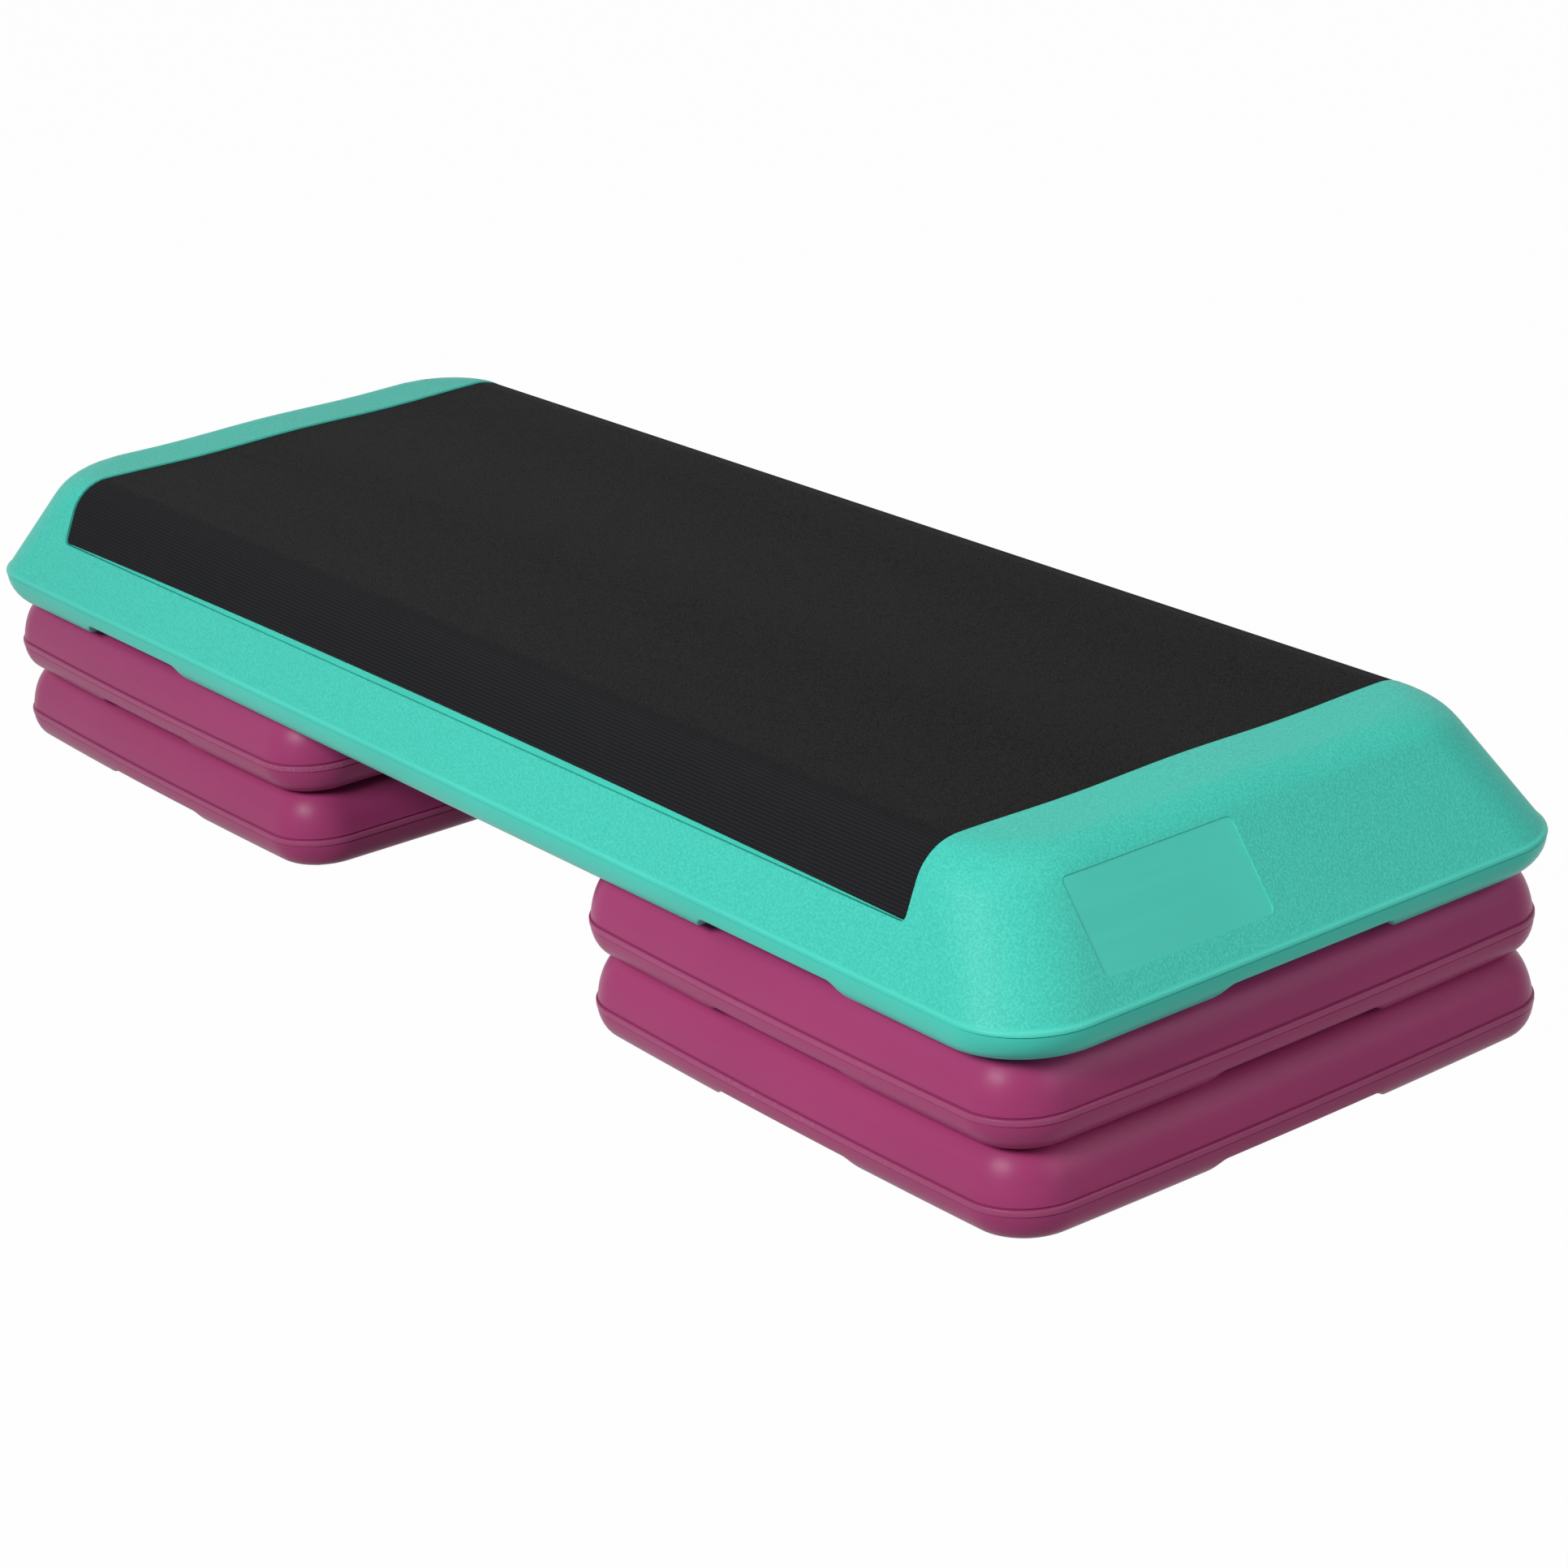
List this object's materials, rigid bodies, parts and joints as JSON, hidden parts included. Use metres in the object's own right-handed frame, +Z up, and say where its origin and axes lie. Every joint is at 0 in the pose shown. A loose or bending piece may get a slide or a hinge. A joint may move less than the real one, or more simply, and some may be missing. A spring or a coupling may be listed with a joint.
{
  "type": "aerobic step platform",
  "caption": "Long hollow step platform with sloped sides and an inlaid ribbed rubber tread, standing at each end on stacked square risers that key into its rim and lift off to change height.",
  "frame": {"origin": "on the floor under the centre of the platform", "axes": "+X along the platform to the end with the label panel, +Y across it, +Z up"},
  "size_m": [1.1, 0.4, 0.192],
  "materials": {
    "turquoise_hdpe": "blow-moulded polyethylene, pebble grain on the slopes, smooth below the girth",
    "plum_hdpe": "blow-moulded polyethylene, smooth, slight sheen",
    "tread_rubber": "matt, pebbled top and fine ribs over the edges",
    "foot_rubber": "matt"
  },
  "bodies": {
    "base": {"riser_lower_left": "plum_hdpe", "riser_lower_right": "plum_hdpe", "foot_lower_left_1": "foot_rubber", "foot_lower_left_2": "foot_rubber", "foot_lower_left_3": "foot_rubber", "foot_lower_left_4": "foot_rubber", "foot_lower_right_1": "foot_rubber", "foot_lower_right_2": "foot_rubber", "foot_lower_right_3": "foot_rubber", "foot_lower_right_4": "foot_rubber"},
    "upper_right": {"riser_upper_right": "plum_hdpe", "foot_upper_right_1": "foot_rubber", "foot_upper_right_2": "foot_rubber", "foot_upper_right_3": "foot_rubber", "foot_upper_right_4": "foot_rubber"},
    "upper_left": {"riser_upper_left": "plum_hdpe", "foot_upper_left_1": "foot_rubber", "foot_upper_left_2": "foot_rubber", "foot_upper_left_3": "foot_rubber", "foot_upper_left_4": "foot_rubber"},
    "platform": {"deck_shell": "turquoise_hdpe", "tread_mat": "tread_rubber", "foot_deck_left_1": "foot_rubber", "foot_deck_left_2": "foot_rubber", "foot_deck_left_3": "foot_rubber", "foot_deck_left_4": "foot_rubber", "foot_deck_right_1": "foot_rubber", "foot_deck_right_2": "foot_rubber", "foot_deck_right_3": "foot_rubber", "foot_deck_right_4": "foot_rubber"}
  },
  "joints": [
    {"name": "upper_right_lift", "type": "slide", "parent": "base", "child": "upper_right", "axis": [0, 0, 1], "range_m": [0, 0.08]},
    {"name": "upper_left_lift", "type": "slide", "parent": "base", "child": "upper_left", "axis": [0, 0, 1], "range_m": [0, 0.08]},
    {"name": "platform_lift", "type": "slide", "parent": "upper_right", "child": "platform", "axis": [0, 0, 1], "range_m": [0, 0.08]}
  ],
  "couplings": [
    {"joint": "upper_left_lift", "follows": "upper_right_lift", "ratio": 1}
  ]
}
